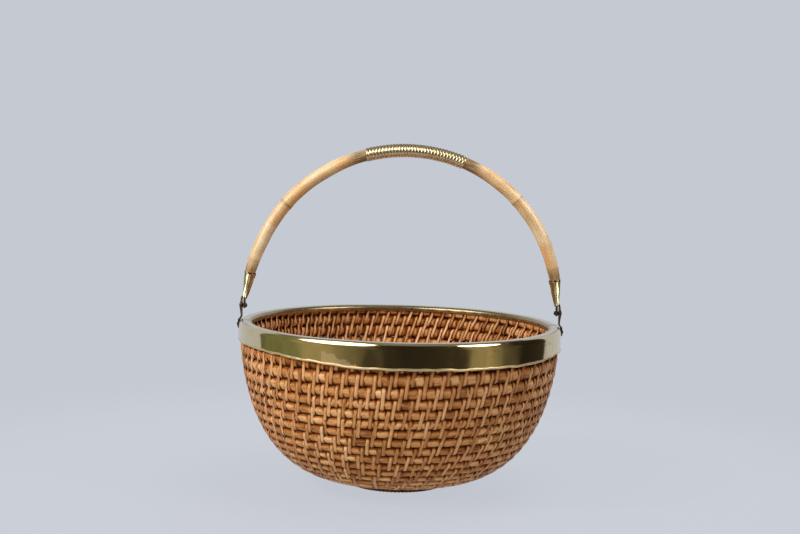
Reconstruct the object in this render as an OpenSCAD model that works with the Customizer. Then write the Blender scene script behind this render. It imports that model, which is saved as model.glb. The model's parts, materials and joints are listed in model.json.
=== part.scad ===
// Woven fruit basket: a coiled rattan bowl with a brass rim and a swinging cane handle.
// The pivot axis lies along X, the bowl's centre line along Z, and the floor is z = 0.

/* [Bowl] */
// Outside diameter across the brass rim band
rim_d = 260; // [230:5:300]
// Height from the floor to the top of the rim
bowl_h = 132; // [110:1:160]
// How full the side is: smaller is boxier, larger is more like a cone
fullness = 0.555; // [0.45:0.005:0.65]
// How far below the base the side's curve would close
curve_spare = 4.5; // [2:0.1:8]

/* [Weave] */
// Diameter of the coiled rattan rod
rod_d = 7; // [6:0.1:7]
// Distance from one turn of the coil to the next
row_pitch = 8.05; // [8:0.05:8.6]
// Thickness of the flat lashing strand
strand_t = 0.9; // [0.7:0.05:1]

/* [Foot] */
// Outside diameter of the foot ring
foot_d = 80; // [70:1:90]
// Height of the foot ring
foot_h = 6.7; // [6:0.1:8]

/* [Brass rim] */
// Thickness of the sheet brass
sheet_t = 0.6; // [0.5:0.05:0.8]
// Height of the band's outer face
band_h = 20; // [16:0.5:24]
// Depth of the lip inside the bowl
lip_h = 4.7; // [4:0.1:6]
// Diameter of the bead folded along the band's lower edge
hem_d = 1.6; // [1.2:0.1:1.8]

/* [Handle] */
// Height of the pivot line above the rim
pivot_rise = 10.6; // [10:0.1:14]
// How far inside the band's outer face the hoop's middle line meets the pivot line
hoop_inset = 3.2; // [3:0.1:4]
// Height of the hoop's centre above the pivot line
hoop_rise = 1.5; // [0:0.1:3]
// Diameter of the cane
cane_d = 10.4; // [9:0.1:11]
// Outside diameter of the wire winding on the grip
winding_d = 11.6; // [11.4:0.1:13]
// Number of turns in the winding
winding_turns = 31; // [26:1:31]
// Angle that the winding covers
winding_angle = 38; // [38:1:44]
// Angle from the top of the hoop to the winding's middle, towards +X
winding_shift = 4; // [0:1:8]

/* [Pivots] */
// How far the middle of each tongue lies inside the band's outer face
tongue_inset = 4.2; // [4:0.1:4.5]
// Diameter of the pivot pins
pin_d = 2.2; // [2:0.1:2.6]
// Radial gap between a pin and the hole in its tongue
pin_gap = 0.06; // [0.03:0.01:0.1]
// Width of the ears
ear_w = 10; // [8:0.5:12]
// How far the ears rise above the rim
ear_rise = 18; // [16:0.5:20]
// Thickness of the ears
ear_t = 1.7; // [1.5:0.1:1.8]

/* [Hidden] */
$fn = 64;
rattan = [0.58, 0.38, 0.24];
strand_tan = [0.62, 0.42, 0.27];
dark_rattan = [0.36, 0.23, 0.14];
pale_cane = [0.83, 0.72, 0.55];
bright_brass = [0.72, 0.63, 0.36];
wire_brass = [0.66, 0.57, 0.36];
tarnished = [0.27, 0.2, 0.15];

// Gap between pieces that lie against each other, and the wider one round the large bowl
gap = 0.05;
band_gap = 0.2;
// Thickness of the woven wall: the rod with a strand on each side
wall_t = rod_d + 2 * strand_t;
// Middle line of the wall: half its thickness from either skin
half_t = wall_t / 2;
rim_r = rim_d / 2;
coil_r = rim_r - sheet_t - band_gap - half_t;
coil_top = bowl_h - sheet_t - band_gap - half_t;
base_z = foot_h + half_t;
curve_depth = coil_top - base_z + curve_spare;

// A point of the wall's middle line, where a = 0 at the rim and 90 where the curve closes
function wall_point(a) = [coil_r * pow(cos(a), fullness), coil_top - curve_depth * sin(a)];

// The middle line of the wall and the flat base, from the rim to the centre
wall_steps = 60;
wall_end_angle = asin((coil_top - base_z) / curve_depth);
middle_line = concat(
    [for (i = [0:wall_steps]) wall_point(wall_end_angle * i / wall_steps)],
    [[0, base_z]]
);
// Distance along the middle line to each of its points
run = [
    for (i = 0, s = 0; i < len(middle_line);
         s = s + norm(middle_line[min(i + 1, len(middle_line) - 1)] - middle_line[i]), i = i + 1) s
];
r_table = [for (i = [0:len(run) - 1]) [run[i], middle_line[i][0]]];
z_table = [for (i = [0:len(run) - 1]) [run[i], middle_line[i][1]]];
wall_run = run[wall_steps];
whole_run = run[len(run) - 1];

// A point at distance s along the middle line, and a point that stands off it by h (out is positive)
function middle(s) = [lookup(s, r_table), lookup(s, z_table)];
slope_step = 1;
function slope(s) = middle(min(s + slope_step, whole_run)) - middle(max(s - slope_step, 0));
function out_dir(s) = [-slope(s)[1], slope(s)[0]] / norm(slope(s));
function skin(s, h) = middle(s) + h * out_dir(s);

// The coil: row 0 is the rod inside the rim, and the rows go on down the wall and in over the base
hub_r = 6;
hub_run = whole_run - hub_r;
row_spare = 0.25;
wall_rows = floor(wall_run / row_pitch - row_spare);
base_rows = floor((hub_run - rod_d / 2) / row_pitch) - wall_rows;
split_run = (wall_rows + 0.5) * row_pitch;
skin_steps = 26;
base_steps = 24;

// Radius of the band's edges, and how far the wall's skins reach up, to where those edges curve in
edge_r = 2.6;
skin_rise = bowl_h - edge_r - coil_top;

// Foot ring: its strand is pressed a little into the rod where the basket stands on it
foot_press = 0.1;
foot_rod_d = foot_h - 2 * strand_t + foot_press;
foot_r = foot_d / 2 - foot_rod_d / 2 - strand_t;

// Brass rim
lip_r = coil_r - half_t - band_gap - sheet_t;
hem_inset = 0.3;
hem_r = rim_r - hem_inset;
hem_z = bowl_h - band_h + hem_d / 2;

// Handle
pivot_z = bowl_h + pivot_rise;
hoop_z = pivot_z + hoop_rise;
hoop_r = rim_r - hoop_inset;
tongue_x = rim_r - tongue_inset;
cone_angle = 11.6;
taper_angle = 24;
cone_lean = 6;
cane_steps = 44;
cane_sides = 20;
cone_top = [hoop_r * cos(cone_angle), hoop_z + hoop_r * sin(cone_angle)];
cone_tip_rise = 7.6;
cone_tip_out = 0.2;
cone_tip = [tongue_x + cone_tip_out, pivot_z + cone_tip_rise];
cone_top_d = 9;
cone_tip_d = 3.4;
cone_wall = 0.45;
cane_end_d = cone_top_d - 2 * (cone_wall + 2 * gap);
cone_core_tip_d = cone_tip_d - 2 * (cone_wall + 2 * gap);
tongue_t = 2;
tongue_w = 5;
tongue_neck = 2.6;
tongue_shoulder = 2.4;
ring_len = 2.3;
ring_bevel = 0.35;

// Pivot pins, ears and nails
pin_r = pin_d / 2;
head_r = 2;
head_t = 1.2;
head_taper = 0.6;
shoulder_rim = 0.6;
clinch_t = 0.8;
side_gap = 0.15;
ear_inset = 1.8;
ear_x = rim_r - ear_inset;
strap_x = rim_r + gap;
strap_drop = 7.5;
jog_low = 1;
jog_high = 0.9;
jog_t = 0.7;
nail_r = 0.7;
nail_drop = 4.6;
nail_z = bowl_h - nail_drop;
nail_head_r = 1.5;
nail_head_t = 0.8;
nail_reach = 3.4;
// How far a cutting shape runs on past the piece it cuts
past = 1;

// One closed turn of rod around the centre line
module turn(p, d) {
    rotate_extrude()
        translate(p)
            circle(d = d);
}

// A skin of revolution between two stand-offs from the middle line
module skin_shell(from_h, to_h) {
    steps = [for (i = [0:skin_steps]) split_run * i / skin_steps];
    back = [for (i = [skin_steps:-1:0]) split_run * i / skin_steps];
    up = [0, skin_rise];
    rotate_extrude()
        polygon(concat(
            [middle(0) + [from_h, 0] + up],
            [for (s = steps) skin(s, from_h)],
            [for (s = back) skin(s, to_h)],
            [middle(0) + [to_h, 0] + up]
        ));
}

module base_coil() {
    color(rattan)
        for (i = [1:base_rows])
            turn(middle((wall_rows + i) * row_pitch), rod_d);
}

// Both faces of the base's lashing, joined at the hub where the coil starts
module base_lashing() {
    seat = rod_d / 2 + gap;
    from = split_run + gap;
    inward = [for (i = [0:base_steps]) from + (hub_run - from) * i / base_steps];
    outward = [for (i = [base_steps:-1:0]) from + (hub_run - from) * i / base_steps];
    color(strand_tan)
        rotate_extrude()
            polygon(concat(
                [for (s = inward) skin(s, half_t)],
                [[0, base_z - half_t], [0, base_z + half_t]],
                [for (s = outward) skin(s, -half_t)],
                [for (s = inward) skin(s, -seat)],
                [for (s = outward) skin(s, seat)]
            ));
}

module wall_coil() {
    color(rattan)
        for (i = [1:wall_rows])
            turn(middle(i * row_pitch), rod_d);
}

// The faces of the stitches outside and inside the wall, with the rods between them
module outer_lashing() {
    color(strand_tan)
        skin_shell(rod_d / 2 + gap, half_t);
}

module inner_lashing() {
    color(strand_tan)
        skin_shell(-rod_d / 2 - gap, -half_t);
}

module foot_coil() {
    color(dark_rattan)
        turn([foot_r, foot_h / 2], foot_rod_d - 2 * gap);
}

// A gutter around the foot rod, flat where the basket stands on it
module foot_lashing() {
    side = foot_rod_d / 2;
    corner = 1.6;
    color(dark_rattan)
        rotate_extrude()
            polygon([
                [foot_r - side, foot_h],
                [foot_r - side, strand_t - foot_press],
                [foot_r + side, strand_t - foot_press],
                [foot_r + side, foot_h],
                [foot_r + side + strand_t, foot_h],
                [foot_r + side + strand_t, corner],
                [foot_r + side + strand_t - corner, 0],
                [foot_r - side - strand_t + corner, 0],
                [foot_r - side - strand_t, corner],
                [foot_r - side - strand_t, foot_h]
            ]);
}

module rim_rod() {
    color(rattan)
        turn(middle(0), rod_d);
}

// Points of a quarter round from angle a to angle b
function bend(c, r, a, b) = [for (i = [0:4]) c + r * [cos(a + (b - a) * i / 4), sin(a + (b - a) * i / 4)]];

module band_profile() {
    out_c = [rim_r - edge_r, bowl_h - edge_r];
    in_c = [lip_r + edge_r, bowl_h - edge_r];
    tight_r = edge_r - sheet_t;
    polygon(concat(
        [[rim_r, hem_z]],
        bend(out_c, edge_r, 0, 90),
        bend(in_c, edge_r, 90, 180),
        [[lip_r, bowl_h - lip_h], [lip_r + sheet_t, bowl_h - lip_h]],
        bend(in_c, tight_r, 180, 90),
        bend(out_c, tight_r, 90, 0),
        [[rim_r - sheet_t, hem_z]]
    ));
    translate([hem_r, hem_z])
        circle(d = hem_d);
}

module nail_hole() {
    translate([strap_x - nail_reach, 0, nail_z])
        rotate([0, 90, 0])
            cylinder(r = nail_r, h = nail_reach + ear_t + past);
}

module rim_band() {
    color(bright_brass)
        difference() {
            rotate_extrude()
                band_profile();
            nail_hole();
            mirror([1, 0, 0])
                nail_hole();
        }
}

// A bent strip: a strap on the band's outer face, a jog over the rim, and the ear that holds the pin
module ear() {
    top = bowl_h + ear_rise;
    round_r = ear_w / 2;
    difference() {
        rotate([90, 0, 0])
            translate([0, 0, -ear_w / 2])
                linear_extrude(height = ear_w)
                    polygon([
                        [strap_x, bowl_h - strap_drop],
                        [strap_x, bowl_h - jog_low],
                        [ear_x, bowl_h + jog_high],
                        [ear_x, top],
                        [ear_x + ear_t, top],
                        [ear_x + ear_t, bowl_h + jog_high + jog_t],
                        [strap_x + ear_t, bowl_h - jog_low + jog_t],
                        [strap_x + ear_t, bowl_h - strap_drop]
                    ]);
        difference() {
            translate([ear_x - past, -ear_w, top - round_r])
                cube([ear_t + 2 * past, 2 * ear_w, 2 * round_r]);
            translate([ear_x - 2 * past, 0, top - round_r])
                rotate([0, 90, 0])
                    cylinder(r = round_r, h = ear_t + 4 * past);
        }
        along_x(ear_x - past)
            cylinder(r = pin_r, h = ear_t + 2 * past);
        nail_hole();
    }
}

module ear_nail() {
    translate([strap_x - nail_reach, 0, nail_z])
        rotate([0, 90, 0])
            cylinder(r = nail_r, h = nail_reach + ear_t);
    translate([strap_x + ear_t, 0, nail_z])
        rotate([0, 90, 0])
            cylinder(r1 = nail_head_r, r2 = nail_head_r / 2, h = nail_head_t);
}

// A headed pin with a shoulder that keeps the tongue off the ear, clinched outside the ear
module pin() {
    head_x = tongue_x - tongue_t / 2 - side_gap - head_t;
    shoulder_x = tongue_x + tongue_t / 2 + side_gap;
    along_x(head_x)
        cylinder(r1 = head_r * head_taper, r2 = head_r, h = head_t);
    along_x(head_x)
        cylinder(r = pin_r, h = ear_x + ear_t - head_x);
    along_x(shoulder_x)
        cylinder(r = pin_r + shoulder_rim, h = ear_x - shoulder_x);
    along_x(ear_x + ear_t)
        cylinder(r1 = pin_r + shoulder_rim, r2 = pin_r - shoulder_rim / 2, h = clinch_t);
}

// Lays a shape drawn up Z along the pivot line, from a given distance out
module along_x(x) {
    translate([x, 0, pivot_z])
        rotate([0, 90, 0])
            children();
}

module tongue() {
    difference() {
        union() {
            along_x(tongue_x - tongue_t / 2)
                cylinder(d = tongue_w, h = tongue_t);
            translate([tongue_x - tongue_t / 2, -tongue_w / 2, pivot_z])
                cube([tongue_t, tongue_w, cone_tip_rise - tongue_shoulder]);
            translate([tongue_x - tongue_t / 2, -tongue_neck / 2, pivot_z])
                cube([tongue_t, tongue_neck, cone_tip_rise - gap]);
        }
        along_x(tongue_x - tongue_t)
            cylinder(r = pin_r + pin_gap, h = 2 * tongue_t);
    }
}

// Draws a round taper from point p (diameter dp) to point q (diameter dq) in the XZ plane
module taper(p, q, dp, dq) {
    v = q - p;
    translate([p[0], 0, p[1]])
        rotate([0, atan2(v[0], v[1]), 0])
            cylinder(d1 = dp, d2 = dq, h = norm(v));
}

// A rolled sheet cone, open at its wide top
module ferrule() {
    difference() {
        taper(cone_tip, cone_top, cone_tip_d, cone_top_d);
        taper(cone_tip, cone_top, cone_tip_d - 2 * cone_wall, cone_top_d - 2 * cone_wall);
    }
}

// The cane's stations from the right tip over the top to the left tip: [x, z, diameter, tilt]
function arc_station(a) = [
    hoop_r * cos(a), hoop_z + hoop_r * sin(a),
    lookup(min(a, 180 - a), [[cone_angle, cane_end_d], [taper_angle, cane_d]]), a
];
function tip_station(side) = [
    side * cone_tip[0], cone_tip[1], cone_core_tip_d, side > 0 ? cone_lean : 180 - cone_lean
];
cane_stations = concat(
    [tip_station(1)],
    [for (i = [0:cane_steps]) arc_station(cone_angle + (180 - 2 * cone_angle) * i / cane_steps)],
    [tip_station(-1)]
);
cane_points = [
    for (st = cane_stations) for (k = [0:cane_sides - 1])
        let (a = 360 * k / cane_sides, r = st[2] / 2)
        [st[0] + r * cos(a) * cos(st[3]), r * sin(a), st[1] + r * cos(a) * sin(st[3])]
];
last_ring = (len(cane_stations) - 1) * cane_sides;
cane_faces = concat(
    [[for (k = [0:cane_sides - 1]) k]],
    [for (i = [0:len(cane_stations) - 2]) for (k = [0:cane_sides - 1])
        let (a = i * cane_sides + k, b = i * cane_sides + (k + 1) % cane_sides)
        [a, a + cane_sides, b + cane_sides, b]],
    [[for (k = [cane_sides - 1:-1:0]) last_ring + k]]
);

module cane_hoop() {
    color(pale_cane)
        polyhedron(cane_points, cane_faces);
}

// One turn of the winding, drawn around Z at the origin
module winding_ring() {
    inside = cane_d / 2 + gap;
    rotate_extrude()
        polygon([
            [inside, -ring_len / 2],
            [winding_d / 2 - ring_bevel, -ring_len / 2],
            [winding_d / 2, -ring_len / 4],
            [winding_d / 2, ring_len / 4],
            [winding_d / 2 - ring_bevel, ring_len / 2],
            [inside, ring_len / 2]
        ]);
}

module grip_winding() {
    color(wire_brass)
        for (i = [0:winding_turns - 1]) {
            a = winding_shift + winding_angle * (i / (winding_turns - 1) - 0.5);
            translate([hoop_r * sin(a), 0, hoop_z + hoop_r * cos(a)])
                rotate([0, a + 90, 0])
                    winding_ring();
        }
}

module left() {
    mirror([1, 0, 0])
        children();
}

module left_ear() { color(tarnished) left() ear(); }
module right_ear() { color(tarnished) ear(); }
module left_ear_nail() { color(tarnished) left() ear_nail(); }
module right_ear_nail() { color(tarnished) ear_nail(); }
module left_pin() { color(tarnished) left() pin(); }
module right_pin() { color(tarnished) pin(); }
module left_tongue() { color(tarnished) left() tongue(); }
module right_tongue() { color(tarnished) tongue(); }
module left_ferrule() { color(bright_brass) left() ferrule(); }
module right_ferrule() { color(bright_brass) ferrule(); }

base_coil();
base_lashing();
wall_coil();
outer_lashing();
inner_lashing();
foot_coil();
foot_lashing();
rim_rod();
rim_band();
left_ear();
right_ear();
left_ear_nail();
right_ear_nail();
left_pin();
right_pin();
left_tongue();
right_tongue();
left_ferrule();
right_ferrule();
cane_hoop();
grip_winding();
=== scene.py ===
import json
import math

import bpy
import numpy as np
from mathutils import Matrix, Vector

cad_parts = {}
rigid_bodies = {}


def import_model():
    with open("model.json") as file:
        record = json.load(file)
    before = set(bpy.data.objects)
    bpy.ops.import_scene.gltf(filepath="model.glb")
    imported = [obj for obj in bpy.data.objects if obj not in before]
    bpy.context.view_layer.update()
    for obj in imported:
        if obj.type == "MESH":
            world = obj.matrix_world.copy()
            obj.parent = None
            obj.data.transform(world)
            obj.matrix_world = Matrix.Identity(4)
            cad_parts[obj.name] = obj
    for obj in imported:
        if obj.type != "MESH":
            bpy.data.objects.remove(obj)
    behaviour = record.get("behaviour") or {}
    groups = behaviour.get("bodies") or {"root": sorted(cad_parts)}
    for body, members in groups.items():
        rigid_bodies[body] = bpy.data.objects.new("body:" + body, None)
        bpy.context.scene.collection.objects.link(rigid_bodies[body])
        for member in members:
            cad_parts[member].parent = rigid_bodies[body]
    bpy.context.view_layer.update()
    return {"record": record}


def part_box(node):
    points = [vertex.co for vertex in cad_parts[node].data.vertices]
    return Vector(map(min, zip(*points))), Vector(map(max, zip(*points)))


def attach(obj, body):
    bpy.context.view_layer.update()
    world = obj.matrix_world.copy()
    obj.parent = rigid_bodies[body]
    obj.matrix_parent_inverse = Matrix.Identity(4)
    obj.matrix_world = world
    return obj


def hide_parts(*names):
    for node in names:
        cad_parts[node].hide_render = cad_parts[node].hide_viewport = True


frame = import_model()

rng = np.random.default_rng(31)

# Lengths in this script are millimetres until a mesh is made; x is along the handle's pivot line.
MM = 0.001
TURN = 2 * math.pi

# Sizes shared with the CAD frame
RIM_R = round(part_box("rim_band")[1].x / MM - 0.5)
BOWL_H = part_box("rim_band")[1].z / MM
PIVOT_Z = frame["record"]["behaviour"]["joints"][0]["pos_m"][2] / MM
FOOT_OUT_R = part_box("foot_lashing")[1].x / MM
ROD_R = 3.5
ROW = 7.9
STRAND_T = 0.9
STRAND_W = 3.05
SHEET_T = 0.6
BAND_GAP = 0.2
HALF_WALL = ROD_R + STRAND_T
COIL_R = RIM_R - SHEET_T - BAND_GAP - HALF_WALL
COIL_TOP = BOWL_H - SHEET_T - BAND_GAP - HALF_WALL
FOOT_H = 6.7
BASE_Z = FOOT_H + HALF_WALL
FULLNESS = 0.555
CURVE_DEPTH = COIL_TOP - BASE_Z + 4.5
HOOP_R = RIM_R - 3.2
HOOP_Z = PIVOT_Z + 1.5
CANE_R = 5.2
GRIP_R = 4.75                    # of the cane under the winding
GRIP_MIDDLE = 87.2               # degrees round the hoop from +X


# ---- meshes

def signed_volume(verts, faces):
    """Six times the volume inside a set of faces, negative where they face inwards."""
    total = 0.0
    for k in range(1, faces.shape[1] - 1):
        a, b, c = verts[faces[:, 0]], verts[faces[:, k]], verts[faces[:, k + 1]]
        total += np.einsum("ij,ij->", a, np.cross(b, c))
    return total


def new_object(name, data):
    obj = bpy.data.objects.new(name, data)
    bpy.context.scene.collection.objects.link(obj)
    return obj


def make_mesh(name, verts, quads, tris=None, values=None, sharp=None):
    """A mesh object from arrays; values are one number per vertex, read by the materials."""
    verts = np.asarray(verts, float).reshape(-1, 3)
    quads = np.asarray(quads, int).reshape(-1, 4)
    tris = np.zeros((0, 3), int) if tris is None else np.asarray(tris, int).reshape(-1, 3)
    if signed_volume(verts, quads) + signed_volume(verts, tris) < 0:
        quads, tris = quads[:, ::-1], tris[:, ::-1]
    mesh = bpy.data.meshes.new(name)
    mesh.vertices.add(len(verts))
    mesh.vertices.foreach_set("co", (verts * MM).ravel())
    loops = np.concatenate([quads.ravel(), tris.ravel()])
    mesh.loops.add(len(loops))
    mesh.loops.foreach_set("vertex_index", loops)
    sizes = np.concatenate([np.full(len(quads), 4), np.full(len(tris), 3)])
    mesh.polygons.add(len(sizes))
    mesh.polygons.foreach_set("loop_start", np.concatenate([[0], np.cumsum(sizes)[:-1]]))
    mesh.update(calc_edges=True)
    mesh.validate()
    mesh.polygons.foreach_set("use_smooth", np.ones(len(mesh.polygons), bool))
    if sharp is not None:
        mesh.set_sharp_from_angle(angle=math.radians(sharp))
    for key, numbers in (values or {}).items():
        mesh.attributes.new(key, "FLOAT", "POINT").data.foreach_set(
            "value", np.asarray(numbers, np.float32).ravel())
    return new_object(name, mesh)


def grid_faces(rows, cols, ring=False, loop=True, start=0):
    """Quads over a grid of vertices; loop closes each row, ring joins the last row to the first."""
    i = np.arange(rows if ring else rows - 1)[:, None]
    j = np.arange(cols if loop else cols - 1)[None, :]
    i2, j2 = (i + 1) % rows, (j + 1) % cols
    return start + np.stack([i * cols + j, i2 * cols + j, i2 * cols + j2, i * cols + j2],
                            axis=-1).reshape(-1, 4)


def fan(first, count, centre, flip):
    """Triangles from a centre vertex to a closed row of vertices."""
    j = np.arange(count)
    a, b = first + j, first + (j + 1) % count
    return np.stack([np.full(count, centre), b, a] if flip else [np.full(count, centre), a, b],
                    axis=-1)


def tube(name, points, values=None, ring=False, sharp=None):
    """A closed skin over rows of section points (rows x columns x 3), capped unless a ring."""
    rows, cols = points.shape[:2]
    verts = points.reshape(-1, 3)
    quads = grid_faces(rows, cols, ring=ring)
    values = {k: np.broadcast_to(v, (rows, cols)).ravel() for k, v in (values or {}).items()}
    if ring:
        return make_mesh(name, verts, quads, None, values, sharp)
    verts = np.vstack([verts, points[0].mean(axis=0), points[-1].mean(axis=0)])
    tris = np.vstack([fan(0, cols, rows * cols, True),
                      fan((rows - 1) * cols, cols, rows * cols + 1, False)])
    values = {k: np.append(v, [v[0], v[-1]]) for k, v in values.items()}
    return make_mesh(name, verts, quads, tris, values, sharp)


def polar(r, angle, z):
    """Points at radius r from the axis, at an angle round it and at height z."""
    return np.stack([r * np.cos(angle), r * np.sin(angle), z], axis=-1)


def round_angles(count):
    return TURN * np.arange(count) / count


def unit(v):
    return v / np.linalg.norm(v, axis=-1, keepdims=True)


def smooth_step(x, lo, hi):
    t = np.clip((x - lo) / (hi - lo), 0, 1)
    return t * t * (3 - 2 * t)


def waves(x, periods, size, seed):
    """A sum of sine waves round a closed line (x in turns), each with a whole number of periods."""
    local = np.random.default_rng(seed)
    phases, weights = local.uniform(0, TURN, len(periods)), local.uniform(0.6, 1, len(periods))
    return size * sum(w * np.sin(TURN * n * x + p)
                      for n, p, w in zip(periods, phases, weights)) / len(periods) ** 0.5


def finish_piece(obj, body, material, slot, *nodes):
    """Gives a piece its material and body, and hides the CAD nodes that it stands for."""
    obj.data.materials.append(material)
    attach(obj, body)
    if nodes:
        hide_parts(*nodes)


# ---- the bowl's middle line

def middle_line():
    """Distance along the wall's middle line from the rim to the centre, with radius and height."""
    end = math.asin((COIL_TOP - BASE_Z) / CURVE_DEPTH)
    a = np.linspace(0, end, 600)
    flat_from = COIL_R * math.cos(end) ** FULLNESS
    r = np.append(COIL_R * np.cos(a) ** FULLNESS, np.linspace(flat_from, 0, 200)[1:])
    z = np.append(COIL_TOP - CURVE_DEPTH * np.sin(a), np.full(199, BASE_Z))
    s = np.concatenate([[0], np.cumsum(np.hypot(np.diff(r), np.diff(z)))])
    return s, r, z


LINE_S, LINE_R, LINE_Z = middle_line()
LINE_END = LINE_S[-1]


def on_line(s):
    """Radius, height and the unit direction down the line, the bend at the base eased."""
    ease = 5.0
    r, z = np.interp(s, LINE_S, LINE_R), np.interp(s, LINE_S, LINE_Z)
    beyond = np.minimum(s, 0)
    z = z - beyond
    s1, s2 = np.clip(s - ease, 0, None), np.clip(s + ease, None, LINE_END)
    dr = np.interp(s2, LINE_S, LINE_R) - np.interp(s1, LINE_S, LINE_R)
    dz = np.interp(s2, LINE_S, LINE_Z) - np.interp(s1, LINE_S, LINE_Z)
    size = np.hypot(dr, dz)
    return r, z, dr / size, dz / size


def in_wall(s, h, angle):
    """The place at distance s down the line, standing off it by h outwards, at an angle round."""
    r, z, tr, tz = on_line(s)
    return polar(r - h * tz, angle, z + h * tr)


def wall_axes(s, angle):
    """Unit vectors down the line and outwards from it."""
    _, _, tr, tz = on_line(s)
    return polar(tr, angle, tz), polar(-tz, angle, tr)


HEM_Z = BOWL_H - 19.2


def hem_lift(a):
    """The band is cut by hand: its lower edge climbs to the ears, most at the left of the front."""
    from_front = np.degrees((a + math.pi / 2 + math.pi) % TURN - math.pi)
    left = 4.7 * smooth_step(-from_front, 5, 58) * smooth_step(from_front, -150, -110)
    right = 2.2 * smooth_step(from_front, 45, 72) * smooth_step(-from_front, -150, -110)
    return left + right


def hem_shade(s, a):
    """How much painted shadow the weave gets, s down the line: most in the row that the hem
    overhangs.
    """
    below = s - (COIL_TOP - HEM_Z - hem_lift(a))
    return 1 - smooth_step(below, 2.0, 8.5)


# ---- the coil

COIL_END = -math.pi / 2          # the rod ends inside the rim at the front
HUB_R = 3.2
TAIL = 0.5                       # turns over which the rod tapers at the rim
GAP = -0.08                      # the rod is pressed this much into the turn before


def row_height(u):
    """Height of the row, u turns from the rod's end: the second to fourth turns are thicker rod."""
    return ROW + 2.3 * np.exp(-((u - 3.0) / 1.6) ** 2)


TABLE_U = np.linspace(TAIL, 32, 3000)
TABLE_S = np.concatenate([[0], np.cumsum(row_height(TABLE_U[1:]) * np.diff(TABLE_U))])
COIL_TURNS = float(np.interp(LINE_END - HUB_R, TABLE_S, TABLE_U))
SPLIT_S = 140.9                  # down the wall, where the turns of the base begin
SPLIT_TURN = float(np.interp(SPLIT_S, TABLE_S, TABLE_U))
HIGH_TURN = 8.0                  # the wall's rod is cut in two pieces here
FIRST_STITCH_TURN = COIL_TURNS - 0.35


def rod_radius(u):
    """The rod's half height: it tapers to a point at the hub and is shaved thin where it ends."""
    start = smooth_step(COIL_TURNS - u, -0.05, 0.5)
    end = 0.32 + 0.68 * np.clip(u / TAIL, 0, 1)
    return (row_height(u) - GAP) / 2 * (0.45 + 0.55 * start) * end


def rod_depth(u):
    """The rod's half thickness through the wall: thicker rod is a little flattened."""
    r = rod_radius(u)
    return r - 0.68 * np.clip(r - ROD_R, 0, None)


def rod_line(u):
    """Distance down the wall of the rod's middle, u turns before its end."""
    at_tail = rod_radius(u) - rod_radius(np.array(TAIL))
    return np.where(u > TAIL, np.interp(u, TABLE_U, TABLE_S), at_tail)


def coil_angle(u):
    return COIL_END - TURN * u


def stitch_spacing(r):
    return np.clip(0.62 * r, 4.6, 11.6)


def looseness(angle):
    """The maker set the stitches widest at the right of the front and closest at the back."""
    return 0.94 + 0.11 * np.cos(angle) - 0.11 * np.sin(angle)


WIDE = 12.0                      # the stitch spacing that the next two numbers are for
OUT_ADVANCE = 3.1                # how far a stitch leans to the right on the outside
ROW_SHIFT = -4.7                 # where a stitch starts beside the one below it
SINK_OUT = 0.80                  # how far the strands press into the rods outside and inside
SINK_IN = 0.25


def lay_stitches():
    """Turn counts u where each stitch starts, from the hub to the coil's end.

    On the wall a stitch follows the one below it, a little to its right. As the rows grow, the
    maker now and then lets a few stitches run on at their own spacing until one more has fitted in.
    """
    starts, u, k, gained = [], FIRST_STITCH_TURN, 0, 1.0
    while u > 0:
        starts.append(u)
        r = max(float(on_line(rod_line(np.array(u + 1)))[0]), 3.0)
        step = float(stitch_spacing(r) * looseness(coil_angle(u))) / (TURN * r)
        u_next = u - step
        while k + 2 < len(starts) and starts[k + 1] > u_next + 1:
            k += 1
        if r > 45:
            room = starts[k] - starts[k + 1]
            if gained >= 1 and room > 1.13 * step and rng.random() < 0.3:
                gained = 0.0
            if gained < 1:
                gained += max(room - step, 0.02 * room) / room
            else:
                follow = [v - 1 + ROW_SHIFT * step / WIDE for v in starts[max(k - 1, 0):k + 3]]
                pull = min((v - u_next for v in follow), key=abs)
                u_next += max(-0.3 * step, min(0.3 * step, pull))
        u = u_next + rng.normal(0, 0.22) / (TURN * r)
    return np.array(starts)


STITCH_U = lay_stitches()


def nearest(values, targets):
    """Signed distance from each value to the closest of the sorted targets."""
    i = np.clip(np.searchsorted(targets, values), 1, len(targets) - 1)
    a, b = values - targets[i - 1], values - targets[i]
    return np.where(np.abs(a) < np.abs(b), a, b)


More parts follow.
